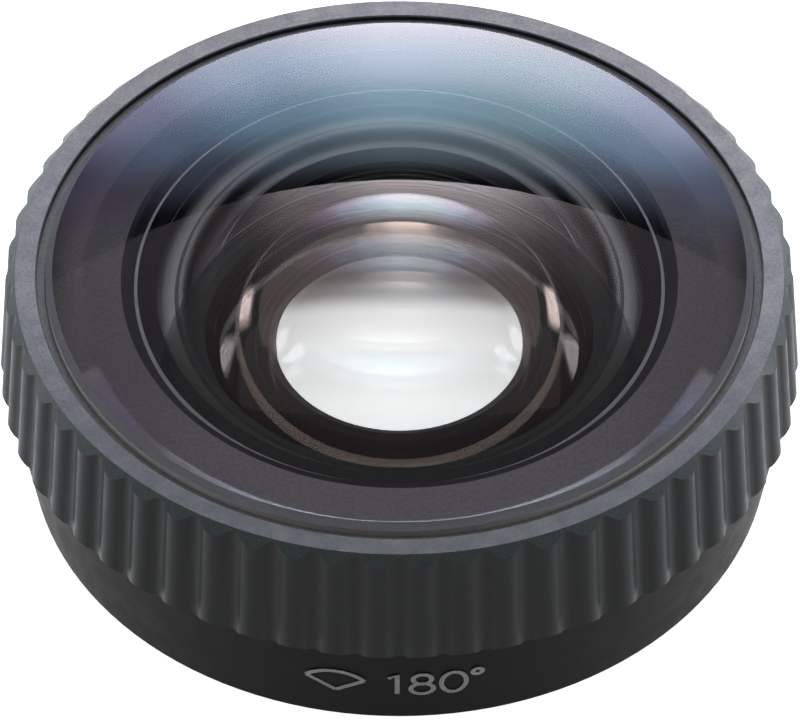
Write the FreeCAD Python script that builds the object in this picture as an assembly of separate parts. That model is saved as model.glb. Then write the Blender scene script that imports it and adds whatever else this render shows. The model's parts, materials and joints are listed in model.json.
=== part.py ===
import FreeCAD, Part
import math
import os

from FreeCAD import Vector

# Wide-angle conversion lens, in millimetres.
# It stands on its flat rear face at z = 0, and the optical axis is +Z, towards the front glass.
# Radii are set from the grip inwards and heights from the rear face up, each by its own wall or step.
# A lens surface is set by its rise, which is the height of its crown over its edge.

# Outside of the housing
rib_foot_radius = 21.0
rib_foot_chamfer = 0.22
grip_draft_deg = 3.5
flute_count = 58
flute_depth = 0.36
flute_share = 0.40
rim_setback = 0.91
rim_face_width = 1.11
rim_chamfer_width = 0.51
rim_chamfer_drop = 0.58
joint_setback = 0.42
barrel_taper = 1.13
rear_edge_chamfer = 0.25
edge_break = 0.06

# Clearances and fits
slip = 0.02
seal_clearance = 0.01
glass_clearance = 0.05
tool_overshoot = 1.0

# Spigot of the barrel, which the grip ring screws over, and the ring's shelf over it
shoulder_width = 2.58
spigot_wall = 1.78
spigot_length = 2.88
shelf_thickness = 0.8

# Front glass, a deep meniscus bonded into the rim
seal_width = 0.44
seal_recess = 0.33
front_edge_thickness = 2.68
front_centre_thickness = 1.65
dome_rise = 3.58
glass_bevel_width = 0.41
glass_bevel_rise = 0.30
lip_clearance = 0.3
lip_wall = 0.7
lip_depth = 1.2
bowl_bevel_width = 0.15

# Black mask under the front glass
mask_thickness = 0.15
mask_overlap = 0.7

# Lens cell, which carries every inner element
cell_length = 4.65
cell_wall = 1.58
cell_flange_thickness = 0.6
nose_wall = 1.6

# Baffle round the lip of the front glass, with a stepped floor
baffle_foot_overlap = 0.94
baffle_floor_thickness = 0.25
baffle_step_count = 2

# Second lens, a meniscus that stands up into the bowl of the front glass
second_seat_rise = 1.9
second_edge_thickness = 1.2
second_centre_thickness = 1.3
second_front_rise = 2.85
second_shoulder_width = 0.68
second_rear_setback = 0.3
retainer_thickness = 0.6
retainer_step = 1.9
retainer_thread_step = 0.5
retainer_overhang = 0.15
ledge_thickness = 1.65
ledge_width = 2.7
ledge_cone_width = 1.2
ledge_cone_drop = 1.1

# Aperture plate and cemented pair
stop_thickness = 0.15
stop_width = 1.03
pair_step = 0.6
third_front_rise = 1.5
third_edge_thickness = 0.8
cement_rise = 0.8
fourth_edge_thickness = 1.2
fourth_rear_rise = 0.55
fourth_rear_setback = 0.8
rear_ring_step = 0.5
rear_ring_thickness = 1.2
spanner_slot_width = 0.8
spanner_slot_depth = 0.3

# Shim and square rubber ring of the cell
shim_thickness = 0.1
shim_width = 3.6
ring_groove_rise = 2.2
ring_groove_width = 1.0
ring_groove_depth = 0.7

# Rear bayonet socket
socket_wall = 2.45
socket_depth = 1.9
plate_setback = 0.3
plate_ring_width = 2.7
plate_thickness = 1.0
lug_count = 3
lug_span_deg = 50.0
lug_reach = 1.0
channel_undercut = 0.2
channel_depth = 1.2
screw_shank_radius = 0.6
screw_head_radius = 1.1
screw_thread_length = 1.6
screw_slot_length = 1.4
screw_slot_width = 0.3
screw_slot_depth = 0.3
pin_radius = 0.5
pin_hold_depth = 0.7
pin_wall_gap = 0.05
pin_foot_gap = 0.2
pin_lug_gap_deg = 3.5
spring_thickness = 0.2
spring_width = 0.9
spring_drop = 0.45
spring_tongue_deg = 56.0
spring_pin_gap = 0.15

# Web of the barrel between the socket and the cell, with its rubber seal
web_thickness = 1.0
web_clearance = 0.2
rear_seal_width = 0.8
rear_seal_depth = 0.4
rear_seal_proud = 0.2
rear_seal_margin = 0.3

# Radii of the housing, from the outside in
rim_outer_radius = rib_foot_radius - rim_setback
pocket_radius = rim_outer_radius - rim_face_width
joint_radius = rib_foot_radius - joint_setback
spigot_radius = joint_radius - shoulder_width
barrel_bore_radius = spigot_radius - spigot_wall
rear_edge_radius = joint_radius - barrel_taper
socket_radius = rear_edge_radius - socket_wall
plate_radius = socket_radius - plate_setback
plate_inner_radius = plate_radius - plate_ring_width
lug_inner_radius = plate_inner_radius - lug_reach
channel_radius = plate_inner_radius + channel_undercut
screw_circle_radius = (plate_radius + plate_inner_radius) / 2
pin_circle_radius = channel_radius - pin_wall_gap - pin_radius

# Radii of what the housing holds, from the outside in
glass_radius = pocket_radius - seal_width
cell_radius = barrel_bore_radius - slip
baffle_radius = cell_radius - cell_wall - slip
mask_opening_radius = baffle_radius - mask_overlap
lip_radius = mask_opening_radius - lip_clearance
bowl_opening_radius = lip_radius - lip_wall
retainer_radius = baffle_radius - retainer_step
baffle_foot_radius = retainer_radius - baffle_foot_overlap
second_radius = retainer_radius - retainer_thread_step
second_clear_radius = second_radius - second_shoulder_width
retainer_inner_radius = second_clear_radius - retainer_overhang
ledge_top_radius = second_radius - ledge_width
ledge_inner_radius = ledge_top_radius - ledge_cone_width
second_rear_radius = ledge_top_radius - second_rear_setback
pair_radius = ledge_inner_radius + pair_step
stop_opening_radius = pair_radius - stop_width
third_clear_radius = stop_opening_radius - glass_clearance
fourth_clear_radius = pair_radius - fourth_rear_setback
rear_ring_opening_radius = fourth_clear_radius + glass_clearance
rear_ring_radius = pair_radius + rear_ring_step
nose_radius = rear_ring_radius + slip + nose_wall
web_opening_radius = nose_radius + web_clearance
rear_seal_inner = web_opening_radius + rear_seal_margin
rear_seal_outer = rear_seal_inner + rear_seal_width

# Heights, from the rear face up
plate_seat_height = socket_depth + plate_thickness
channel_ceiling = plate_seat_height + channel_depth
web_top = channel_ceiling + web_thickness
cell_foot_height = web_top + shim_thickness
flange_underside = cell_foot_height + cell_length
mask_underside = flange_underside + cell_flange_thickness
seat_height = mask_underside + mask_thickness
rim_height = seat_height + front_edge_thickness
shelf_underside = flange_underside - shelf_thickness
joint_height = shelf_underside - spigot_length
ring_groove_height = cell_foot_height + ring_groove_rise
second_seat_height = cell_foot_height + second_seat_rise
second_shoulder_height = second_seat_height + second_edge_thickness
retainer_top = second_shoulder_height + retainer_thickness
ledge_underside = second_seat_height - ledge_thickness
third_seat = ledge_underside - stop_thickness
cement_edge_height = third_seat - third_edge_thickness
fourth_seat = cement_edge_height - fourth_edge_thickness
nose_end_height = fourth_seat - rear_ring_thickness

# Angles and the like
pin_angle_deg = lug_span_deg / 2 + pin_lug_gap_deg
screw_head_depth = screw_head_radius - screw_shank_radius


def turn(points):
    """Solid of revolution about +Z of a closed outline of (radius, height) points."""
    outline = Part.makePolygon([Vector(r, 0, z) for r, z in points + points[:1]])
    return Part.Face(outline).revolve(Vector(0, 0, 0), Vector(0, 0, 1), 360)


def tube(inner, outer, low, high):
    """Plain ring between two radii and two heights."""
    return turn([(inner, low), (outer, low), (outer, high), (inner, high)])


def sector(inner, outer, low, high, centre_deg, span_deg):
    """Part of a ring that spans an angle about its centre direction."""
    outline = [(inner, low), (outer, low), (outer, high), (inner, high), (inner, low)]
    face = Part.Face(Part.makePolygon([Vector(r, 0, z) for r, z in outline]))
    piece = face.revolve(Vector(0, 0, 0), Vector(0, 0, 1), span_deg)
    piece.rotate(Vector(0, 0, 0), Vector(0, 0, 1), centre_deg - span_deg / 2)
    return piece


def on_circle(radius, angle_deg, height):
    """Point at a radius and an angle about the optical axis."""
    angle = math.radians(angle_deg)
    return Vector(radius * math.cos(angle), radius * math.sin(angle), height)


def sphere_radius(rise, radius):
    """Radius of the sphere whose crown stands a rise over its edge."""
    return (radius ** 2 + rise ** 2) / (2 * rise)


def crown_line(rise, radius, edge_height):
    """Arc from the axis to the edge of a lens surface: a rise under 0 bulges towards the rear."""
    curve = sphere_radius(rise, radius)
    top = edge_height + rise
    half = math.asin(radius / curve) / 2
    middle = Vector(abs(curve) * math.sin(abs(half)), 0, top - curve * (1 - math.cos(half)))
    return Part.Arc(Vector(0, 0, top), middle, Vector(radius, 0, edge_height)).toShape()


def ends(edge):
    """First and last point of an edge."""
    return edge.Vertexes[0].Point, edge.Vertexes[-1].Point


def glass(front_line, rear_line, rim_points):
    """Lens turned from its two surface lines, joined by the outline of its edge."""
    front_axis, front_edge = ends(front_line)
    rear_axis, rear_edge = ends(rear_line)
    rim = [front_edge] + [Vector(r, 0, z) for r, z in rim_points] + [rear_edge]
    edges = [front_line, rear_line, Part.LineSegment(front_axis, rear_axis).toShape()]
    for start, finish in zip(rim, rim[1:]):
        edges.append(Part.LineSegment(start, finish).toShape())
    outline = Part.Wire(Part.__sortEdges__(edges))
    return Part.Face(outline).revolve(Vector(0, 0, 0), Vector(0, 0, 1), 360)


def rib_radius(height):
    """Radius over the rib tips at a height of the grip."""
    return rib_foot_radius - (height - joint_height) * math.tan(math.radians(grip_draft_deg))


def fluted_wire(height):
    """Closed wave of rib and flute arcs at one height, with a rib centred on +X."""
    tip = rib_radius(height)
    root = tip - flute_depth
    shoulder = root + flute_share * flute_depth
    pitch = 2 * math.pi / flute_count
    half_flute = pitch * flute_share / 2

    def at(radius, angle):
        return Vector(radius * math.cos(angle), radius * math.sin(angle), height)

    arcs = []
    for index in range(flute_count):
        rib = index * pitch
        start = rib - pitch / 2 + half_flute
        finish = rib + pitch / 2 - half_flute
        after = finish + 2 * half_flute
        arcs.append(Part.Arc(at(shoulder, start), at(tip, rib), at(shoulder, finish)).toShape())
        arcs.append(Part.Arc(at(shoulder, finish), at(root, rib + pitch / 2), at(shoulder, after)).toShape())
    return Part.Wire(arcs)


def grip_ring():
    """Fluted front ring: it carries the rim, the pocket of the front glass and a shelf for the cell."""
    fluted = Part.makeLoft([fluted_wire(joint_height), fluted_wire(rim_height)], True, True)
    reach = rib_foot_radius + tool_overshoot
    rim_drop = (reach - rim_outer_radius) * rim_chamfer_drop / rim_chamfer_width
    envelope = turn([
        (spigot_radius + slip, joint_height),
        (rib_foot_radius - rib_foot_chamfer, joint_height),
        (reach, joint_height + rib_foot_chamfer + tool_overshoot),
        (reach, rim_height - rim_drop),
        (rim_outer_radius, rim_height),
        (pocket_radius + edge_break, rim_height),
        (pocket_radius, rim_height - edge_break),
        (pocket_radius, flange_underside),
        (barrel_bore_radius, flange_underside),
        (barrel_bore_radius, shelf_underside),
        (spigot_radius + slip, shelf_underside),
    ])
    return fluted.common(envelope)


def screw_places():
    """Angles of the bayonet screws, midway between the lugs."""
    return [(index + 0.5) * 360 / lug_count for index in range(lug_count)]


def lug_places():
    """Angles of the bayonet lugs."""
    return [index * 360 / lug_count for index in range(lug_count)]


def barrel():
    """Rear housing: tapered outside, spigot for the grip ring, bore for the cell and the socket."""
    cone_slope = (joint_radius - rear_edge_radius) / joint_height
    body = turn([
        (socket_radius + edge_break, 0),
        (rear_edge_radius - rear_edge_chamfer, 0),
        (rear_edge_radius + cone_slope * rear_edge_chamfer, rear_edge_chamfer),
        (joint_radius - edge_break, joint_height - edge_break),
        (joint_radius - 2 * edge_break, joint_height),
        (spigot_radius, joint_height),
        (spigot_radius, shelf_underside),
        (barrel_bore_radius, shelf_underside),
        (barrel_bore_radius, web_top),
        (web_opening_radius, web_top),
        (web_opening_radius, channel_ceiling),
        (rear_seal_inner, channel_ceiling),
        (rear_seal_inner, channel_ceiling + rear_seal_depth),
        (rear_seal_outer, channel_ceiling + rear_seal_depth),
        (rear_seal_outer, channel_ceiling),
        (channel_radius, channel_ceiling),
        (channel_radius, plate_seat_height),
        (plate_radius, plate_seat_height),
        (plate_radius, socket_depth),
        (socket_radius, socket_depth),
        (socket_radius, edge_break),
    ])
    for angle in screw_places():
        start = on_circle(screw_circle_radius, angle, plate_seat_height)
        body = body.cut(Part.makeCylinder(screw_shank_radius, screw_thread_length, start))
    pin_start = on_circle(pin_circle_radius, pin_angle_deg, channel_ceiling)
    return body.cut(Part.makeCylinder(pin_radius, pin_hold_depth, pin_start))


def front_lens():
    """Large domed meniscus with a ground edge, and a lip round its deep rear bowl."""
    clear = glass_radius - glass_bevel_width
    dome_edge = rim_height + glass_bevel_rise
    lip_foot = seat_height - lip_depth
    bowl_edge = lip_foot + bowl_bevel_width
    bowl_rise = dome_edge + dome_rise - front_centre_thickness - bowl_edge
    return glass(
        crown_line(dome_rise, clear, dome_edge),
        crown_line(bowl_rise, bowl_opening_radius, bowl_edge),
        [
            (glass_radius, rim_height),
            (glass_radius, seat_height),
            (lip_radius, seat_height),
            (lip_radius, lip_foot),
            (bowl_opening_radius + bowl_bevel_width, lip_foot),
        ],
    )


def front_seal():
    """Black bead that fills the gap between the glass edge and the rim, a little below the rim."""
    return tube(glass_radius, pocket_radius, mask_underside, rim_height - seal_recess)


def mask_ring():
    """Thin black ring under the flat rear of the front glass."""
    return tube(mask_opening_radius, glass_radius, mask_underside, seat_height)


def baffle_ring():
    """Light trap: a black ring round the lip, with a floor that steps down towards the second lens."""
    foot = retainer_top
    rise = baffle_floor_thickness / baffle_step_count
    run = (mask_opening_radius - baffle_foot_radius) / baffle_step_count
    points = [(baffle_radius, mask_underside), (baffle_radius, foot), (baffle_foot_radius, foot)]
    for step in range(1, baffle_step_count + 1):
        points.append((baffle_foot_radius + (step - 1) * run, foot + step * rise))
        points.append((baffle_foot_radius + step * run, foot + step * rise))
    points.append((mask_opening_radius, mask_underside))
    return turn(points)


def lens_cell():
    """Inner barrel: flange under the front glass, seats for the inner elements and a rear nose."""
    flange_radius = pocket_radius - slip
    groove_low = ring_groove_height - ring_groove_width / 2
    groove_high = ring_groove_height + ring_groove_width / 2
    groove_floor = cell_radius - ring_groove_depth
    return turn([
        (rear_ring_radius + slip, nose_end_height),
        (nose_radius, nose_end_height),
        (nose_radius, cell_foot_height),
        (cell_radius, cell_foot_height),
        (cell_radius, groove_low),
        (groove_floor, groove_low),
        (groove_floor, groove_high),
        (cell_radius, groove_high),
        (cell_radius, flange_underside),
        (flange_radius, flange_underside),
        (flange_radius, mask_underside),
        (baffle_radius + slip, mask_underside),
        (baffle_radius + slip, retainer_top),
        (retainer_radius + slip, retainer_top),
        (retainer_radius + slip, second_shoulder_height),
        (second_radius + slip, second_shoulder_height),
        (second_radius + slip, second_seat_height),
        (ledge_top_radius, second_seat_height),
        (ledge_inner_radius, second_seat_height - ledge_cone_drop),
        (ledge_inner_radius, ledge_underside),
        (pair_radius + slip, ledge_underside),
        (pair_radius + slip, fourth_seat),
        (rear_ring_radius + slip, fourth_seat),
    ])


def cell_seal_ring():
    """Square-cut rubber ring in the groove of the cell, against the bore of the barrel."""
    half_width = ring_groove_width / 2 - seal_clearance
    return tube(cell_radius - ring_groove_depth, barrel_bore_radius,
                ring_groove_height - half_width, ring_groove_height + half_width)


def cell_shim():
    """Thin steel ring that sets how deep the cell sits in the barrel."""
    return tube(cell_radius - shim_width, cell_radius, web_top, cell_foot_height)


def second_lens():
    """Smaller meniscus, with a flat shoulder for its retainer."""
    rear_rise = second_edge_thickness + second_front_rise - second_centre_thickness
    return glass(
        crown_line(second_front_rise, second_clear_radius, second_shoulder_height),
        crown_line(rear_rise, second_rear_radius, second_seat_height),
        [(second_radius, second_shoulder_height), (second_radius, second_seat_height)],
    )


def second_lens_retainer():
    """Threaded black ring that holds the second lens down, bevelled towards the glass."""
    return turn([
        (second_clear_radius, second_shoulder_height),
        (retainer_radius, second_shoulder_height),
        (retainer_radius, retainer_top),
        (baffle_foot_radius, retainer_top),
        (retainer_inner_radius, retainer_top - retainer_thickness / 2),
        (retainer_inner_radius, second_shoulder_height + retainer_thickness / 4),
    ])


def aperture_stop():
    """Thin black plate whose opening bounds the bright disc seen from the front."""
    return tube(stop_opening_radius, pair_radius, third_seat, ledge_underside)


def third_lens():
    """Front half of the cemented pair, convex on both sides."""
    return glass(
        crown_line(third_front_rise, third_clear_radius, third_seat),
        crown_line(-cement_rise, pair_radius, cement_edge_height),
        [(pair_radius, third_seat)],
    )


def fourth_lens():
    """Rear half of the cemented pair, hollow towards its partner and gently convex at the rear."""
    return glass(
        crown_line(-cement_rise, pair_radius, cement_edge_height),
        crown_line(-fourth_rear_rise, fourth_clear_radius, fourth_seat),
        [(pair_radius, fourth_seat)],
    )


def rear_retaining_ring():
    """Threaded ring in the nose that holds the pair, with two spanner slots in its rear face."""
    ring = tube(rear_ring_opening_radius, rear_ring_radius, nose_end_height, fourth_seat)
    length = 2 * (rear_ring_radius + tool_overshoot)
    corner = Vector(-length / 2, -spanner_slot_width / 2, nose_end_height - tool_overshoot)
    depth = spanner_slot_depth + tool_overshoot
    return ring.cut(Part.makeBox(length, spanner_slot_width, depth, corner))


def bayonet_ring():
    """Steel plate with inward lugs and countersunk screw holes."""
    outer = plate_radius - slip
    plate = tube(plate_inner_radius, outer, socket_depth, plate_seat_height)
    for angle in lug_places():
        plate = plate.fuse(sector(lug_inner_radius, outer, socket_depth, plate_seat_height,
                                  angle, lug_span_deg))
    for angle in screw_places():
        start = on_circle(screw_circle_radius, angle, socket_depth)
        plate = plate.cut(Part.makeCylinder(screw_shank_radius, plate_thickness, start))
        plate = plate.cut(Part.makeCone(screw_head_radius, screw_shank_radius, screw_head_depth, start))
    return plate.removeSplitter()


def bayonet_screws():
    """Three countersunk screws of the bayonet plate, each with a straight slot."""
    length = plate_thickness + screw_thread_length
    screws = []
    for angle in screw_places():
        start = on_circle(screw_circle_radius, angle, socket_depth)
        screw = Part.makeCylinder(screw_shank_radius, length, start)
        screw = screw.fuse(Part.makeCone(screw_head_radius, screw_shank_radius, screw_head_depth, start))
        slot = Part.makeBox(screw_slot_length, screw_slot_width, screw_slot_depth,
                            Vector(-screw_slot_length / 2, -screw_slot_width / 2, 0))
        slot.rotate(Vector(0, 0, 0), Vector(0, 0, 1), angle)
        slot.translate(start)
        screws.append(screw.cut(slot).removeSplitter())
    return Part.makeCompound(screws)


def bayonet_spring():
    """Open crimped steel ring in the channel: three tongues press on the lugs of the mating mount."""
    outer = channel_radius - slip
    inner = outer - spring_width
    low = channel_ceiling - spring_drop
    riser_deg = math.degrees(2 * spring_thickness / outer)
    clear_inner = inner - tool_overshoot
    clear_outer = outer + tool_overshoot
    clear_top = channel_ceiling + tool_overshoot
    spring = tube(inner, outer, channel_ceiling - spring_thickness, channel_ceiling)
    for angle in screw_places():
        spring = spring.cut(sector(clear_inner, clear_outer, low, clear_top, angle, spring_tongue_deg))
        spring = spring.fuse(sector(inner, outer, low, low + spring_thickness, angle, spring_tongue_deg))
        for side in (-1, 1):
            place = angle + side * (spring_tongue_deg - riser_deg) / 2
            spring = spring.fuse(sector(inner, outer, low, channel_ceiling, place, riser_deg))
    gap_deg = math.degrees(2 * (pin_radius + spring_pin_gap) / pin_circle_radius)
    spring = spring.cut(sector(clear_inner, clear_outer, low, clear_top, pin_angle_deg, gap_deg))
    return spring.removeSplitter()


def bayonet_stop_pin():
    """Short pin in the channel that ends the twist of the mating mount."""
    start = on_circle(pin_circle_radius, pin_angle_deg, plate_seat_height + pin_foot_gap)
    return Part.makeCylinder(pin_radius, channel_depth - pin_foot_gap + pin_hold_depth, start)


def rear_seal():
    """Square rubber ring in the web of the barrel, standing a little proud of its groove."""
    return tube(rear_seal_inner + seal_clearance, rear_seal_outer - seal_clearance,
                channel_ceiling - rear_seal_proud, channel_ceiling + rear_seal_depth)


def main():
    parts = {
        "grip_ring": grip_ring(),
        "barrel": barrel(),
        "front_lens": front_lens(),
        "front_seal": front_seal(),
        "mask_ring": mask_ring(),
        "baffle_ring": baffle_ring(),
        "lens_cell": lens_cell(),
        "cell_seal_ring": cell_seal_ring(),
        "cell_shim": cell_shim(),
        "second_lens": second_lens(),
        "second_lens_retainer": second_lens_retainer(),
        "aperture_stop": aperture_stop(),
        "third_lens": third_lens(),
        "fourth_lens": fourth_lens(),
        "rear_retaining_ring": rear_retaining_ring(),
        "bayonet_ring": bayonet_ring(),
        "bayonet_screws": bayonet_screws(),
        "bayonet_spring": bayonet_spring(),
        "bayonet_stop_pin": bayonet_stop_pin(),
        "rear_seal": rear_seal(),
    }
    os.makedirs("parts", exist_ok=True)
    for name, shape in parts.items():
        shape.exportStep("parts/" + name + ".step")
        print(name, len(shape.Solids), shape.isValid(), round(shape.Volume, 3))


main()
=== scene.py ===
import json
import math

import bpy
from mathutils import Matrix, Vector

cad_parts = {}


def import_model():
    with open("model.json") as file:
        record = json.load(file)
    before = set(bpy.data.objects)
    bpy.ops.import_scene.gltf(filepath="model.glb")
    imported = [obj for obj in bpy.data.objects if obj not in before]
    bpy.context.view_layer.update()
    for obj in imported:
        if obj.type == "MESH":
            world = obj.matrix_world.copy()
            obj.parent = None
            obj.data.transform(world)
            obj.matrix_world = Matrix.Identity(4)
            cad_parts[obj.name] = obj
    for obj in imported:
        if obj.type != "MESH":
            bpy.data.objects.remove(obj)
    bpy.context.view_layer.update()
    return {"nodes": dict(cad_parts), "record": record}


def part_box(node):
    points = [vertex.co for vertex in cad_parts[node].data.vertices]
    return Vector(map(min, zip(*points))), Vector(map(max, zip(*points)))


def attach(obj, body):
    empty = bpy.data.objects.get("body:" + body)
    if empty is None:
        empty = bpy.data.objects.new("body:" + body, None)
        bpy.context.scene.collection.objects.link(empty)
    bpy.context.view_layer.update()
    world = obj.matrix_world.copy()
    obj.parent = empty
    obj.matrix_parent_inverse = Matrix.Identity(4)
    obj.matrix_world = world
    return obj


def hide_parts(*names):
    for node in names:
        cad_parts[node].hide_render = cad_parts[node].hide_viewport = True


# Wide-angle conversion lens on a white table, in metres, in the frame of the solids.
# It rests on its rear face, and the optical axis is +Z. The camera is on the -Y side.
# Colours are linear red, green and blue. Grain is in lumps a metre.

mm = 0.001

# Camera, solved from the circles of the rim, the glass and the barrel
camera_elevation_deg = 46.80
camera_distance = 636.4 * mm
camera_lens_mm = 540.0
camera_sensor_mm = 36.0
camera_tilt_up_deg = 0.409
camera_side_step = 0.03 * mm
camera_clip_start = 10 * mm
camera_clip_end = 20.0

# Table
table_reach = 4.0
table_white = 0.8

# Soft shade on the table under the lens, seen through it. The stops run from its front to its back.
shade_front = -5 * mm
shade_back = 7 * mm
shade_stops = [
    (0.0, 1.0),
    (0.22, 0.98),
    (0.39, 0.84),
    (0.52, 0.82),
    (0.72, 0.70),
    (0.88, 0.12),
    (1.0, 0.02),
]
shade_side = 11 * mm
shade_side_floor = 0.76
shade_reach = 16 * mm
shade_inner_reach = 0.9 * shade_reach

# Scrim: a flat even light overhead, with the brighter core of its lamp at the middle of its back edge
scrim_height = 250 * mm
scrim_front_reach = 0.5
scrim_back_reach = 1.19
scrim_half_width = 3.0
scrim_colour = (1.0, 0.95, 0.955)
scrim_radiance = 0.62
scrim_core = 11.5
scrim_core_back = [(0.0, 0.0), (0.25, 0.0), (0.50, 0.07), (0.70, 0.26), (0.87, 0.62), (1.0, 1.0)]
scrim_core_width = 280 * mm
scrim_core_side = [
    (0.0, 0.0),
    (0.31, 0.0),
    (0.40, 0.45),
    (0.5, 1.0),
    (0.58, 0.95),
    (0.70, 0.12),
    (0.80, 0.0),
    (1.0, 0.0),
]

# Backdrop: a light behind the lens, with its colours from the table upwards and from left to right
backdrop_distance = 450 * mm
backdrop_half_width = 360 * mm
backdrop_height = 360 * mm
backdrop_radiance = 13.6
backdrop_heights = [
    (0.0, (0.520, 0.510, 0.520)),
    (0.07, (0.473, 0.487, 0.555)),
    (0.31, (0.460, 0.560, 0.675)),
    (0.56, (0.285, 0.460, 0.560)),
    (0.80, (0.150, 0.212, 0.250)),
    (1.0, (0.010, 0.014, 0.016)),
]
backdrop_sides = [
    (0.0, (0.0, 0.0, 0.0)),
    (0.16, (0.135, 0.070, 0.127)),
    (0.28, (0.370, 0.330, 0.410)),
    (0.38, (0.620, 0.650, 0.700)),
    (0.5, (1.0, 1.0, 1.0)),
    (0.62, (0.880, 0.890, 0.870)),
    (0.73, (0.716, 0.663, 0.762)),
    (0.84, (0.300, 0.250, 0.325)),
    (1.0, (0.0, 0.0, 0.0)),
]

# Side strips
strip_distance = 330 * mm
strip_near = 0 * mm
strip_far = 140 * mm
strip_foot = 4 * mm
strip_full_from = 3 * strip_foot
strip_top = 90 * mm
strip_full_to = 0.6 * strip_top
strip_colour = (0.95, 0.93, 1.0)
left_strip_radiance = 14.0
right_strip_radiance = 24.0

world_grey = 0.02

# Front glass
glass_edge_gap = 0.04 * mm
glass_bevel_width = 0.37 * mm
glass_bevel_rise = 0.30 * mm
front_edge_thickness = 2.68 * mm
front_centre_thickness = 1.65 * mm
mask_gap = 0.01 * mm
front_glass_radius = 18.9 * mm
painted_radius = 16.0 * mm
painted_opening_radius = 13.9 * mm
ground_glow_depth = 2.4 * mm
lip_radius = 13.6 * mm
lip_depth = 1.2 * mm
bowl_opening_radius = 12.9 * mm
bowl_bevel_width = 0.15 * mm
front_index = 1.6
front_glass_parts = ("dome", "bevel", "blackened", "bowl_bevel", "bowl", "painted", "ground", "flat")

# Second lens
second_clear_radius = 11.52 * mm
second_edge_thickness = 1.2 * mm
second_centre_thickness = 1.3 * mm
second_rear_radius = 9.2 * mm
second_index = 1.52

# Cemented pair
cement_rise = 0.8 * mm
cement_gap = 0.01 * mm
third_edge_thickness = 0.8 * mm
third_clear_radius = 7.82 * mm
third_index = 1.62
fourth_rear_rise = 0.55 * mm
fourth_clear_radius = 8.1 * mm
fourth_index = 1.70

# Smoothness of the turned surfaces
lathe_segments = 256
surface_rings = 96
sharp_angle_deg = 15.0
on_axis = 1e-9

# Sign on the barrel: a wide fan and 180 degrees, in strokes on the cone
barrel_top_radius = 20.58 * mm
barrel_foot_radius = 19.45 * mm
barrel_height = 6.17 * mm
sign_height = 1.85 * mm
sign_foot = 2.42 * mm
sign_stroke = 0.25 * mm
sign_proud = 0.02 * mm
sign_sunk = 0.004 * mm
curve_steps = 28
same_point = 1e-7

# Glass: its own tint, the tints of its coatings, and the slant at which a coating has turned to its second tint
glass_tint = (0.997, 0.997, 0.995)
coating_turn = 0.75
dome_coating = (0.30, 0.25, 0.28)
dome_slant_coating = (0.20, 0.17, 0.20)
bowl_coating = (1.12, 0.87, 0.73)
flat_coating = (0.05, 0.05, 0.05)
second_coating = (0.40, 0.30, 0.29)
second_slant_coating = (0.42, 0.45, 0.37)
pair_coating = (0.03, 0.04, 0.03)

# Shared by the finishes: the span of most noise values, the depth of a relief, and two specular levels
grain_low = 0.3
grain_high = 0.7
relief_depth = 0.02 * mm
dim_level = 0.15
plain_level = 0.3

# Ground glass: what the bevels pass and scatter, and how pale the edge is from its foot to its top, where the pale
# top is a painted glow of the light that comes in through the bevel
ground_grain = 12000
ground_dark_share = 0.85
bevel_passed = (0.80, 0.80, 0.86)
bevel_colour = (0.22, 0.21, 0.23)
bevel_scatter_share = 0.45
bevel_inner_share = 0.12
bowl_bevel_passed = (0.6, 0.6, 0.65)
bowl_bevel_colour = (0.9, 0.9, 0.98)
bowl_bevel_scatter_share = 0.8
bowl_bevel_inner_share = 1.0
ground_edge_glow_stops = [(0.0, 0.03), (0.3, 0.2), (0.6, 0.6), (1.0, 1.0)]

# Paint at the front glass, with painted light and shade in its colour: paler at its nearest part as painted light,
# falling off to its middle, and darker towards the far side and towards its outer edge as painted shade.
mask_colour = (0.225, 0.205, 0.225)
mask_far_shade_share = 0.30
painted_colour = (0.235, 0.214, 0.235)
painted_far_shade_share = 0.10
paint_near_light = (-16 * mm, -4 * mm)
paint_near_light_fall = 0.70
paint_far_shade = (2 * mm, 10 * mm)
paint_edge_shade_share = 0.75
paint_grain = 5000
paint_dark_share = 0.88
paint_light_share = 1.12
paint_roughness = 0.8
paint_relief = 0.1

# Matte finishes of the inner parts, the seals, the blackened glass edges and the print
matte_dark_share = 0.85
matte_light_share = 1.15
inner_black = (0.0070, 0.0180, 0.0150)
inner_roughness = 0.6
inner_grain = 4000
soft_relief = 0.2
fine_relief = 0.1
rubber_black = (0.020, 0.020, 0.020)
rubber_roughness = 0.7
rubber_grain = 3000
blackened_colour = (0.010, 0.010, 0.012)
blackened_roughness = 0.5
blackened_grain = 5000
seal_colour = (0.15, 0.15, 0.153)
seal_roughness = 0.6
seal_grain = 5000
print_colour = (0.66, 0.66, 0.68)
print_roughness = 0.6
print_grain = 9000

# Turned steel
steel_rings = 9000
steel_dark = (0.52, 0.51, 0.49)
steel_light = (0.66, 0.65, 0.62)
steel_roughness = (0.24, 0.36)
steel_relief = 0.12
steel_relief_depth = 0.01 * mm

# Black anodising: the upward part of a normal tells the chamfer and the rim from the walls
grip_dark = (0.0075, 0.0095, 0.0098)
grip_level = 0.17
grip_roughness = 0.36
barrel_dark = (0.0085, 0.0088, 0.0088)
barrel_level = 0.035
barrel_roughness = 0.40
blast_grain = 9000
wear_grain = 900
rim_facing = (0.90, 0.98)
chamfer_facing = (0.55, 0.68)
# The rim's colour runs lighter from its near side to its far side: a painted highlight.
rim_highlight_reach = 20 * mm
rim_highlight_stops = [(0.0, (0.060, 0.062, 0.069)), (0.5, (0.098, 0.098, 0.107)), (1.0, (0.103, 0.098, 0.106))]
speckle_stops = [(0.25, 0.78), (0.75, 1.12)]
anodised_high = 0.75
wear_share = 1.5
chamfer_dark_share = 12.0
chamfer_light_share = 17.0
wear_roughness = (-0.03, 0.05)

# Light paths: enough for the rays that cross all four lenses and come back
all_bounces = 24
glossy_bounces = 12


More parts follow.
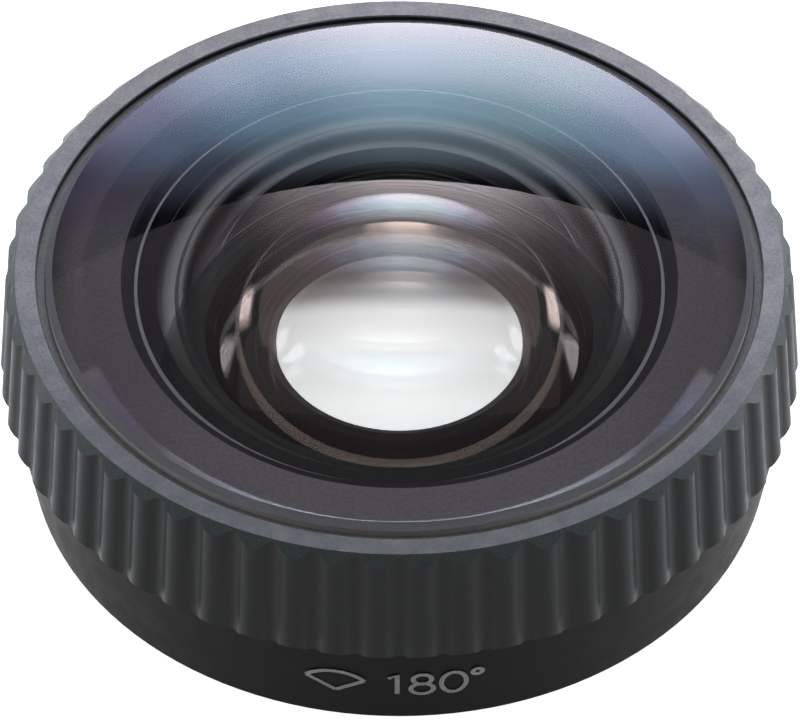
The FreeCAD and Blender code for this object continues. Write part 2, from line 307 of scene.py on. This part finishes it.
def set_up_camera():
    """Camera at the photograph's angle, far away with a long lens."""
    elevation = math.radians(camera_elevation_deg)
    camera = bpy.data.objects.new("camera", bpy.data.cameras.new("camera"))
    camera.data.sensor_width = camera_sensor_mm
    camera.data.lens = camera_lens_mm
    camera.data.clip_start = camera_clip_start
    camera.data.clip_end = camera_clip_end
    camera.location = (
        camera_side_step,
        -camera_distance * math.cos(elevation),
        camera_distance * math.sin(elevation),
    )
    camera.rotation_euler = (math.radians(90 - camera_elevation_deg + camera_tilt_up_deg), 0, 0)
    bpy.context.scene.collection.objects.link(camera)
    bpy.context.scene.camera = camera


def new_material(name):
    """Node material with an empty tree, its tree and its output."""
    material = bpy.data.materials.new(name)
    material.use_nodes = True
    tree = material.node_tree
    tree.nodes.clear()
    return material, tree, tree.nodes.new("ShaderNodeOutputMaterial")


def add(tree, kind, **settings):
    """Node of a kind, with attributes set by name."""
    node = tree.nodes.new(kind)
    for key, value in settings.items():
        setattr(node, key, value)
    return node


def feed(tree, socket, value):
    """Gives a socket another socket's value, or a fixed one."""
    if isinstance(value, bpy.types.NodeSocket):
        tree.links.new(value, socket)
    else:
        socket.default_value = value


def calculate(tree, operation, first, second=0):
    """Math node whose inputs are sockets or plain numbers."""
    node = add(tree, "ShaderNodeMath", operation=operation)
    feed(tree, node.inputs[0], first)
    feed(tree, node.inputs[1], second)
    return node.outputs[0]


def blend(tree, factor, first, second, kind="MIX"):
    """Mix node of two colours."""
    node = add(tree, "ShaderNodeMix", data_type="RGBA", blend_type=kind)
    feed(tree, node.inputs["Factor"], factor)
    feed(tree, node.inputs[6], first)
    feed(tree, node.inputs[7], second)
    return node.outputs[2]


def axes(tree):
    """Object coordinates, by name: X, Y and Z."""
    place = add(tree, "ShaderNodeTexCoord")
    split = add(tree, "ShaderNodeSeparateXYZ")
    tree.links.new(place.outputs["Object"], split.inputs[0])
    return split.outputs


def from_axis(tree):
    """Distance from the optical axis."""
    place = axes(tree)
    x, y = place["X"], place["Y"]
    squares = calculate(tree, "ADD", calculate(tree, "MULTIPLY", x, x), calculate(tree, "MULTIPLY", y, y))
    return calculate(tree, "SQRT", squares)


def remap(tree, value, low, high, to_low, to_high):
    """Value carried from one range to another, smoothed at both ends."""
    node = add(tree, "ShaderNodeMapRange", interpolation_type="SMOOTHSTEP")
    node.inputs["From Min"].default_value = low
    node.inputs["From Max"].default_value = high
    node.inputs["To Min"].default_value = to_low
    node.inputs["To Max"].default_value = to_high
    tree.links.new(value, node.inputs["Value"])
    return node.outputs[0]


def ramp(tree, value, stops):
    """Colour ramp of (place, colour or grey) stops, smoothed."""
    node = add(tree, "ShaderNodeValToRGB")
    node.color_ramp.interpolation = "EASE"
    for place, colour in stops[1:-1]:
        node.color_ramp.elements.new(place)
    for element, (place, colour) in zip(node.color_ramp.elements, stops):
        element.position = place
        element.color = (*colour, 1) if isinstance(colour, tuple) else (colour, colour, colour, 1)
    tree.links.new(value, node.inputs[0])
    return node.outputs[0]


def scaled(colour, share):
    """Colour times a share."""
    return tuple(share * part for part in colour)


def noise(tree, scale, detail):
    """Grain in object coordinates: scale is in lumps a metre."""
    place = add(tree, "ShaderNodeTexCoord")
    grain = add(tree, "ShaderNodeTexNoise")
    grain.inputs["Scale"].default_value = scale
    grain.inputs["Detail"].default_value = detail
    tree.links.new(place.outputs["Object"], grain.inputs["Vector"])
    return grain.outputs[0]


def bump(tree, height, strength, depth):
    """Normal of a fine relief."""
    node = add(tree, "ShaderNodeBump")
    node.inputs["Strength"].default_value = strength
    node.inputs["Distance"].default_value = depth
    tree.links.new(height, node.inputs["Height"])
    return node.outputs[0]


def glow(tree, colour, strength):
    """Emission of a colour and a strength."""
    node = add(tree, "ShaderNodeEmission")
    feed(tree, node.inputs["Color"], colour)
    feed(tree, node.inputs["Strength"], strength)
    return node.outputs[0]


def seen_directly(tree):
    """1 for a camera, mirror or glass ray, and 0 for the rays that light the object."""
    path = add(tree, "ShaderNodeLightPath")
    direct = calculate(tree, "MAXIMUM", path.outputs["Is Camera Ray"], path.outputs["Is Transmission Ray"])
    return calculate(tree, "MAXIMUM", direct, path.outputs["Is Glossy Ray"])


def mesh_object(name, vertices, faces):
    """Mesh object from its points and faces."""
    mesh = bpy.data.meshes.new(name)
    mesh.from_pydata(vertices, [], faces)
    mesh.update()
    piece = bpy.data.objects.new(name, mesh)
    bpy.context.scene.collection.objects.link(piece)
    return piece


def panel(name, corners, material):
    """Flat four-cornered panel that belongs to the studio."""
    piece = mesh_object(name, corners, [(0, 1, 2, 3)])
    piece.data.materials.append(material)
    return piece


def floor_material():
    """White table that keeps the shadow. It shows white directly, with a soft shade under the lens."""
    material, tree, output = new_material("white_table")
    diffuse = add(tree, "ShaderNodeBsdfDiffuse")
    diffuse.inputs["Color"].default_value = (table_white, table_white, table_white, 1)
    place = axes(tree)
    from_front = calculate(tree, "SUBTRACT", place["Y"], shade_front)
    along = calculate(tree, "DIVIDE", from_front, shade_back - shade_front)
    aside = remap(tree, calculate(tree, "ABSOLUTE", place["X"]), 0, shade_side, 1, shade_side_floor)
    shade = calculate(tree, "MULTIPLY", ramp(tree, along, shade_stops), aside)
    outside = remap(tree, from_axis(tree), shade_inner_reach, shade_reach, 0, 1)
    level = calculate(tree, "MAXIMUM", shade, outside)
    shown = glow(tree, (1, 1, 1, 1), calculate(tree, "MULTIPLY", seen_directly(tree), level))
    total = add(tree, "ShaderNodeAddShader")
    tree.links.new(diffuse.outputs[0], total.inputs[0])
    tree.links.new(shown, total.inputs[1])
    tree.links.new(total.outputs[0], output.inputs["Surface"])
    return material


def scrim_material():
    """Even soft light, with the brighter core of its lamp at the middle of the back edge."""
    material, tree, output = new_material("scrim_light")
    place = axes(tree)
    back = ramp(tree, calculate(tree, "DIVIDE", place["Y"], scrim_back_reach * scrim_height), scrim_core_back)
    across = calculate(tree, "DIVIDE", calculate(tree, "ADD", place["X"], scrim_core_width), 2 * scrim_core_width)
    core = calculate(tree, "MULTIPLY", back, ramp(tree, across, scrim_core_side))
    strength = calculate(tree, "ADD", calculate(tree, "MULTIPLY", core, scrim_core), scrim_radiance)
    tree.links.new(glow(tree, (*scrim_colour, 1), strength), output.inputs["Surface"])
    return material


def backdrop_material():
    """Light that is strongest near the table, and fades upwards and to the sides."""
    material, tree, output = new_material("backdrop_light")
    place = axes(tree)
    upwards = ramp(tree, calculate(tree, "DIVIDE", place["Z"], backdrop_height), backdrop_heights)
    from_side = calculate(tree, "ADD", place["X"], backdrop_half_width)
    across = calculate(tree, "DIVIDE", from_side, 2 * backdrop_half_width)
    colour = blend(tree, 1.0, upwards, ramp(tree, across, backdrop_sides), "MULTIPLY")
    tree.links.new(glow(tree, colour, backdrop_radiance), output.inputs["Surface"])
    return material


def strip_material(name, radiance):
    """Light of a side strip, soft at its ends."""
    material, tree, output = new_material(name)
    place = axes(tree)
    lower_end = remap(tree, place["Z"], strip_foot, strip_full_from, 0, 1)
    upper_end = remap(tree, place["Z"], strip_full_to, strip_top, 1, 0)
    ends = calculate(tree, "MULTIPLY", lower_end, upper_end)
    middle = (strip_near + strip_far) / 2
    reach = (strip_far - strip_near) / 2
    from_middle = calculate(tree, "ABSOLUTE", calculate(tree, "SUBTRACT", place["Y"], middle))
    edges = remap(tree, from_middle, 0, reach, 1, 0)
    strength = calculate(tree, "MULTIPLY", calculate(tree, "MULTIPLY", ends, edges), radiance)
    tree.links.new(glow(tree, (*strip_colour, 1), strength), output.inputs["Surface"])
    return material


def set_up_studio():
    """Table, scrim, backdrop, side strips and a dim world."""
    reach = table_reach
    panel("table", [(-reach, -reach, 0), (reach, -reach, 0), (reach, reach, 0), (-reach, reach, 0)], floor_material())
    wide = scrim_half_width * scrim_height
    front = -scrim_front_reach * scrim_height
    back = scrim_back_reach * scrim_height
    scrim = panel(
        "scrim",
        [
            (-wide, front, scrim_height),
            (-wide, back, scrim_height),
            (wide, back, scrim_height),
            (wide, front, scrim_height),
        ],
        scrim_material(),
    )
    side = backdrop_half_width
    backdrop = panel(
        "backdrop",
        [
            (-side, backdrop_distance, 0),
            (side, backdrop_distance, 0),
            (side, backdrop_distance, backdrop_height),
            (-side, backdrop_distance, backdrop_height),
        ],
        backdrop_material(),
    )
    lights = [scrim, backdrop]
    sides = (
        ("left_strip", -strip_distance, left_strip_radiance),
        ("right_strip", strip_distance, right_strip_radiance),
    )
    for name, place, radiance in sides:
        corners = [
            (place, strip_near, strip_foot),
            (place, strip_far, strip_foot),
            (place, strip_far, strip_top),
            (place, strip_near, strip_top),
        ]
        lights.append(panel(name, corners, strip_material(name + "_light", radiance)))
    for light in lights:
        light.visible_camera = False
    world = bpy.data.worlds.new("studio")
    bpy.context.scene.world = world
    world.use_nodes = True
    world.node_tree.nodes["Background"].inputs["Color"].default_value = (world_grey, world_grey, world_grey, 1)


def crown(rise, radius, edge_height):
    """Points of a lens surface from its axis to its edge: a rise under 0 bulges towards the rear."""
    curve = (radius ** 2 + rise ** 2) / (2 * rise)
    half = math.asin(radius / abs(curve))
    points = []
    for index in range(surface_rings + 1):
        angle = half * index / surface_rings
        drop = curve * (1 - math.cos(angle))
        points.append((abs(curve) * math.sin(angle), edge_height + rise - drop))
    return points


def lathe(name, outline, slots=None):
    """Smooth solid of revolution. Slots are the material numbers of its bands, or none if it has one material."""
    vertices = []
    rings = []
    for radius, height in outline:
        if radius < on_axis:
            rings.append([len(vertices)])
            vertices.append((0, 0, height))
            continue
        rings.append(list(range(len(vertices), len(vertices) + lathe_segments)))
        for index in range(lathe_segments):
            angle = 2 * math.pi * index / lathe_segments
            vertices.append((radius * math.cos(angle), radius * math.sin(angle), height))
    faces = []
    numbers = []
    for band, (upper, lower) in enumerate(zip(rings, rings[1:])):
        for index in range(lathe_segments):
            numbers.append(slots[band] if slots else 0)
            after = (index + 1) % lathe_segments
            if len(upper) == 1:
                faces.append((upper[0], lower[index], lower[after]))
            elif len(lower) == 1:
                faces.append((upper[index], lower[0], upper[after]))
            else:
                faces.append((upper[index], lower[index], lower[after], upper[after]))
    piece = mesh_object(name, vertices, faces)
    for face, number in zip(piece.data.polygons, numbers):
        face.use_smooth = True
        face.material_index = number
    piece.data.set_sharp_from_angle(angle=math.radians(sharp_angle_deg))
    return piece


def glass_material(name, index, coating, slant_coating=None):
    """Clear glass with an anti-reflection coating, whose tint may turn to another one at a slant."""
    material, tree, output = new_material(name)
    shader = add(tree, "ShaderNodeBsdfPrincipled")
    shader.inputs["Base Color"].default_value = (*glass_tint, 1)
    shader.inputs["Roughness"].default_value = 0.0
    shader.inputs["IOR"].default_value = index
    shader.inputs["Transmission Weight"].default_value = 1.0
    shader.inputs["Specular Tint"].default_value = (*coating, 1)
    if slant_coating:
        slant = add(tree, "ShaderNodeLayerWeight")
        stops = [(0.0, coating), (coating_turn, slant_coating)]
        tree.links.new(ramp(tree, slant.outputs["Facing"], stops), shader.inputs["Specular Tint"])
    tree.links.new(shader.outputs[0], output.inputs["Surface"])
    return material


def bevel_material(name, passed, colour, share, inner):
    """Fine-ground bevel with a fine even grain. Inner is its share of colour on the side towards the glass."""
    material, tree, output = new_material(name)
    grain = noise(tree, ground_grain, 2)
    side = add(tree, "ShaderNodeNewGeometry")
    level = remap(tree, side.outputs["Backfacing"], 0, 1, 1.0, inner)
    through = add(tree, "ShaderNodeBsdfTranslucent")
    back = add(tree, "ShaderNodeBsdfDiffuse")
    for shader, pale in ((through, passed), (back, colour)):
        grained = ramp(tree, grain, [(grain_low, scaled(pale, ground_dark_share)), (grain_high, pale)])
        tree.links.new(blend(tree, level, (0, 0, 0, 1), grained), shader.inputs["Color"])
    mix = add(tree, "ShaderNodeMixShader")
    mix.inputs[0].default_value = share
    tree.links.new(through.outputs[0], mix.inputs[1])
    tree.links.new(back.outputs[0], mix.inputs[2])
    tree.links.new(mix.outputs[0], output.inputs["Surface"])
    return material


def ground_edge_material(top):
    """Ground cylinder of the front glass: blackened below, and pale near its upper edge as a painted glow of the
    light that comes in through the bevel.
    """
    material, tree, output = new_material("ground_edge_painted_glow_finish")
    height = axes(tree)["Z"]
    # Painted glow: the edge turns paler towards its top
    pale = ramp(tree, remap(tree, height, top - ground_glow_depth, top, 0, 1), ground_edge_glow_stops)
    grain = remap(tree, noise(tree, ground_grain, 2), grain_low, grain_high, ground_dark_share, 1.0)
    shader = add(tree, "ShaderNodeBsdfDiffuse")
    tree.links.new(calculate(tree, "MULTIPLY", pale, grain), shader.inputs["Color"])
    tree.links.new(shader.outputs[0], output.inputs["Surface"])
    return material


def matte_material(name, colour, roughness, grain, relief, level):
    """Matte surface with fine grain: the grain varies the colour a little and stands out as relief."""
    material, tree, output = new_material(name)
    shader = add(tree, "ShaderNodeBsdfPrincipled")
    shader.inputs["Roughness"].default_value = roughness
    shader.inputs["Specular IOR Level"].default_value = level
    lumps = noise(tree, grain, 3)
    stops = [(grain_low, scaled(colour, matte_dark_share)), (grain_high, scaled(colour, matte_light_share))]
    tree.links.new(ramp(tree, lumps, stops), shader.inputs["Base Color"])
    tree.links.new(bump(tree, lumps, relief, relief_depth), shader.inputs["Normal"])
    tree.links.new(shader.outputs[0], output.inputs["Surface"])
    return material


def paint_material(name, colour, far_shade_share):
    """Matte black paint at the front glass, with painted light that makes the near side paler, and painted shade that
    makes its edge and the far side darker.
    """
    material, tree, output = new_material(name)
    y = axes(tree)["Y"]
    # Painted light at the near side, and painted shade towards the far side and the outer edge
    near = remap(tree, y, *paint_near_light, 1.0, paint_near_light_fall)
    far = remap(tree, y, *paint_far_shade, 1.0, far_shade_share)
    outer = remap(tree, from_axis(tree), painted_radius, front_glass_radius, 1.0, paint_edge_shade_share)
    level = calculate(tree, "MULTIPLY", calculate(tree, "MULTIPLY", near, far), outer)
    lumps = noise(tree, paint_grain, 3)
    stops = [(grain_low, scaled(colour, paint_dark_share)), (grain_high, scaled(colour, paint_light_share))]
    shader = add(tree, "ShaderNodeBsdfPrincipled")
    shader.inputs["Roughness"].default_value = paint_roughness
    shader.inputs["Specular IOR Level"].default_value = dim_level
    tree.links.new(blend(tree, level, (0, 0, 0, 1), ramp(tree, lumps, stops)), shader.inputs["Base Color"])
    tree.links.new(bump(tree, lumps, paint_relief, relief_depth), shader.inputs["Normal"])
    tree.links.new(shader.outputs[0], output.inputs["Surface"])
    return material


def steel_material():
    """Turned steel: fine rings round the axis."""
    material, tree, output = new_material("bright_steel_finish")
    shader = add(tree, "ShaderNodeBsdfPrincipled")
    shader.inputs["Metallic"].default_value = 1.0
    rings = add(tree, "ShaderNodeTexNoise", noise_dimensions="1D")
    rings.inputs["Scale"].default_value = steel_rings
    rings.inputs["Detail"].default_value = 3
    tree.links.new(from_axis(tree), rings.inputs["W"])
    turned = rings.outputs[0]
    steel_stops = [(grain_low, steel_dark), (grain_high, steel_light)]
    tree.links.new(ramp(tree, turned, steel_stops), shader.inputs["Base Color"])
    tree.links.new(remap(tree, turned, grain_low, grain_high, *steel_roughness), shader.inputs["Roughness"])
    tree.links.new(bump(tree, turned, steel_relief, steel_relief_depth), shader.inputs["Normal"])
    tree.links.new(shader.outputs[0], output.inputs["Surface"])
    return material


def anodised_material(name, dark, level, roughness):
    """Blasted black anodising. A face that looks straight up, the rim, is satin metal, lighter at the far side as a
    painted highlight.
    """
    material, tree, output = new_material(name)
    shader = add(tree, "ShaderNodeBsdfPrincipled")
    shader.inputs["Specular IOR Level"].default_value = level
    geometry = add(tree, "ShaderNodeNewGeometry")
    facing = add(tree, "ShaderNodeSeparateXYZ")
    tree.links.new(geometry.outputs["Normal"], facing.inputs[0])
    up = remap(tree, facing.outputs["Z"], *rim_facing, 0, 1)
    chamfer = remap(tree, facing.outputs["Z"], *chamfer_facing, 0, 1)
    blast = noise(tree, blast_grain, 3)
    wear = noise(tree, wear_grain, 4)
    body = ramp(tree, wear, [(grain_low, dark), (anodised_high, scaled(dark, wear_share))])
    edge_stops = [(grain_low, scaled(dark, chamfer_dark_share)), (anodised_high, scaled(dark, chamfer_light_share))]
    walls = blend(tree, chamfer, body, ramp(tree, blast, edge_stops))
    # Painted highlight: the rim's colour runs lighter towards the far side
    satin = ramp(tree, remap(tree, axes(tree)["Y"], -rim_highlight_reach, rim_highlight_reach, 0, 1), rim_highlight_stops)
    rim = blend(tree, 1.0, satin, ramp(tree, blast, speckle_stops), "MULTIPLY")
    tree.links.new(blend(tree, up, walls, rim), shader.inputs["Base Color"])
    tree.links.new(up, shader.inputs["Metallic"])
    smoothest, roughest = (roughness + change for change in wear_roughness)
    tree.links.new(remap(tree, wear, grain_low, grain_high, smoothest, roughest), shader.inputs["Roughness"])
    tree.links.new(bump(tree, blast, soft_relief, relief_depth), shader.inputs["Normal"])
    tree.links.new(shader.outputs[0], output.inputs["Surface"])
    return material


def dress(piece, materials, node):
    """Gives a new piece its materials and lets it stand for a node."""
    for material in materials:
        piece.data.materials.append(material)
    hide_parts(node)
    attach(piece, "root")


def edge_heights():
    """Heights of the flat under the front glass and of the upper end of its ground edge."""
    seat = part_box("mask_ring")[1][2] + mask_gap
    return seat, seat + front_edge_thickness


def front_glass():
    """Large domed meniscus with a ground edge, and a lip round the bowl that stands below the flat."""
    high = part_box("front_lens")[1]
    radius = high[0] - glass_edge_gap
    seat, rim = edge_heights()
    dome_edge = rim + glass_bevel_rise
    lip_foot = seat - lip_depth
    bowl_edge = lip_foot + bowl_bevel_width
    dome = crown(high[2] - dome_edge, radius - glass_bevel_width, dome_edge)
    edge = [
        (radius, rim),
        (radius, seat),
        (painted_radius, seat),
        (painted_opening_radius, seat),
        (lip_radius, seat),
        (lip_radius, lip_foot),
        (bowl_opening_radius + bowl_bevel_width, lip_foot),
    ]
    bowl = crown(high[2] - front_centre_thickness - bowl_edge, bowl_opening_radius, bowl_edge)
    bands = ["dome"] * surface_rings
    bands += ["bevel", "ground", "flat", "painted", "blackened", "blackened", "blackened", "bowl_bevel"]
    bands += ["bowl"] * surface_rings
    return lathe("front_glass", dome + edge + bowl[::-1], [front_glass_parts.index(part) for part in bands])


def second_glass():
    """Smaller meniscus: clear on both curves, blackened at its edge."""
    low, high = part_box("second_lens")
    seat = low[2]
    shoulder = seat + second_edge_thickness
    front = crown(high[2] - shoulder, second_clear_radius, shoulder)
    edge = [(high[0], shoulder), (high[0], seat)]
    rear = crown(high[2] - second_centre_thickness - seat, second_rear_radius, seat)
    slots = [0] * surface_rings + [1, 1, 1] + [0] * surface_rings
    return lathe("second_glass", front + edge + rear[::-1], slots)


def third_glass():
    """Front half of the cemented pair."""
    low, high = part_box("third_lens")
    edge = low[2] + cement_rise
    seat = edge + third_edge_thickness
    outline = crown(high[2] - seat, third_clear_radius, seat)
    outline += [(high[0], seat)]
    return lathe("third_glass", outline + crown(-cement_rise, high[0], edge)[::-1])


def fourth_glass():
    """Rear half of the cemented pair."""
    low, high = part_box("fourth_lens")
    outline = [(radius, height - cement_gap) for radius, height in crown(-cement_rise, high[0], high[2])]
    seat = low[2] + fourth_rear_rise
    outline += [(high[0], seat)]
    return lathe("fourth_glass", outline + crown(-fourth_rear_rise, fourth_clear_radius, seat)[::-1])


def ellipse(centre, across, up, start_deg=0.0, end_deg=360.0):
    """Points of an ellipse or of a part of one."""
    points = []
    for step in range(curve_steps + 1):
        angle = math.radians(start_deg + (end_deg - start_deg) * step / curve_steps)
        points.append((centre[0] + across * math.cos(angle), centre[1] + up * math.sin(angle)))
    return points


def sign_strokes():
    """Lines of the sign in a flat plane, in units of its height, with the middle at 0: a fan, 1, 8, 0 and a ring."""
    fan = (-1.75, 0.06)
    arc = ellipse(fan, 0.98, 0.94, 36, 144)
    strokes = [[fan, arc[0]], [fan, arc[-1]], arc]
    strokes.append([(-0.30, 0.80), (-0.06, 0.98), (-0.06, 0.02)])
    strokes.append(ellipse((0.62, 0.74), 0.25, 0.24))
    strokes.append(ellipse((0.62, 0.26), 0.31, 0.26))
    strokes.append(ellipse((1.48, 0.5), 0.34, 0.5))
    strokes.append(ellipse((2.12, 0.90), 0.13, 0.13))
    return strokes


def on_barrel(across, height, lift):
    """Point on the cone of the barrel, at a distance across its front and at a height."""
    share = height / barrel_height
    radius = barrel_foot_radius + (barrel_top_radius - barrel_foot_radius) * share + lift
    angle = -math.pi / 2 + across / barrel_foot_radius
    return (radius * math.cos(angle), radius * math.sin(angle), height)


def sign():
    """Printed sign: thin strokes that follow the cone."""
    vertices = []
    faces = []
    half = sign_stroke / 2
    for stroke in sign_strokes():
        points = [(x * sign_height, sign_foot + y * sign_height) for x, y in stroke]
        closed = math.dist(points[0], points[-1]) < same_point
        rows = []
        for index, (x, y) in enumerate(points):
            before = points[index - 1] if index else (points[-2] if closed else points[0])
            after = points[index + 1] if index + 1 < len(points) else (points[1] if closed else points[-1])
            length = math.dist(before, after)
            dx = (after[0] - before[0]) / length
            dy = (after[1] - before[1]) / length
            row = []
            for side, lift in ((-half, sign_proud), (half, sign_proud), (half, -sign_sunk), (-half, -sign_sunk)):
                row.append(len(vertices))
                vertices.append(on_barrel(x - side * dy, y + side * dx, lift))
            rows.append(row)
        for first, second in zip(rows, rows[1:]):
            for corner in range(4):
                after = (corner + 1) % 4
                faces.append((first[corner], second[corner], second[after], first[after]))
        if not closed:
            faces.append(tuple(rows[0]))
            faces.append(tuple(rows[-1][::-1]))
    return mesh_object("sign", vertices, faces)


def finish_solids(frame):
    """Gives each solid of the frame the material of its slot, and the seal of the front glass one of its own."""
    nodes = frame["nodes"]
    finishes = {
        "anodised_grip": anodised_material("anodised_grip_finish", grip_dark, grip_level, grip_roughness),
        "anodised_barrel": anodised_material("anodised_barrel_finish", barrel_dark, barrel_level, barrel_roughness),
        "inner_black": matte_material("inner_black_finish", inner_black, inner_roughness, inner_grain, soft_relief,
                                      dim_level),
        "black_mask": paint_material("black_mask_finish", mask_colour, mask_far_shade_share),
        "black_rubber": matte_material("black_rubber_finish", rubber_black, rubber_roughness, rubber_grain,
                                       soft_relief, plain_level),
        "bright_steel": steel_material(),
    }
    looks = {subpart["node"]: finishes.get(subpart["material_slot"]) for subpart in frame["record"]["subparts"]}
    looks["front_seal"] = matte_material("front_seal_finish", seal_colour, seal_roughness, seal_grain, soft_relief,
                                         plain_level)
    for name, finish in looks.items():
        if finish:
            materials = nodes[name].data.materials
            materials.clear()
            materials.append(finish)


def add_glasses():
    """The four glasses, each in the place of its solid."""
    blackened = matte_material("blackened_edge_finish", blackened_colour, blackened_roughness, blackened_grain,
                               fine_relief, dim_level)
    looks = {
        "dome": glass_material("front_dome_finish", front_index, dome_coating, dome_slant_coating),
        "bevel": bevel_material("frosted_bevel_finish", bevel_passed, bevel_colour, bevel_scatter_share,
                                bevel_inner_share),
        "blackened": blackened,
        "bowl_bevel": bevel_material("bowl_bevel_finish", bowl_bevel_passed, bowl_bevel_colour,
                                     bowl_bevel_scatter_share, bowl_bevel_inner_share),
        "bowl": glass_material("front_bowl_finish", front_index, bowl_coating),
        "painted": paint_material("painted_flat_finish", painted_colour, painted_far_shade_share),
        "ground": ground_edge_material(edge_heights()[1]),
        "flat": glass_material("front_flat_finish", front_index, flat_coating),
    }
    dress(front_glass(), [looks[part] for part in front_glass_parts], "front_lens")
    second = glass_material("second_glass_finish", second_index, second_coating, second_slant_coating)
    dress(second_glass(), [second, blackened], "second_lens")
    third = glass_material("third_glass_finish", third_index, pair_coating)
    dress(third_glass(), [third], "third_lens")
    fourth = glass_material("fourth_glass_finish", fourth_index, pair_coating)
    dress(fourth_glass(), [fourth], "fourth_lens")


def add_sign():
    """The sign on the barrel, in pale print."""
    print_sign = sign()
    print_sign.data.materials.append(matte_material("print_finish", print_colour, print_roughness, print_grain,
                                                    fine_relief, plain_level))
    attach(print_sign, "root")


def main():
    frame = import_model()
    set_up_camera()
    set_up_studio()
    finish_solids(frame)
    add_glasses()
    add_sign()
    scene = bpy.context.scene
    scene.view_settings.view_transform = "Standard"
    scene.cycles.max_bounces = all_bounces
    scene.cycles.transmission_bounces = all_bounces
    scene.cycles.glossy_bounces = glossy_bounces


main()
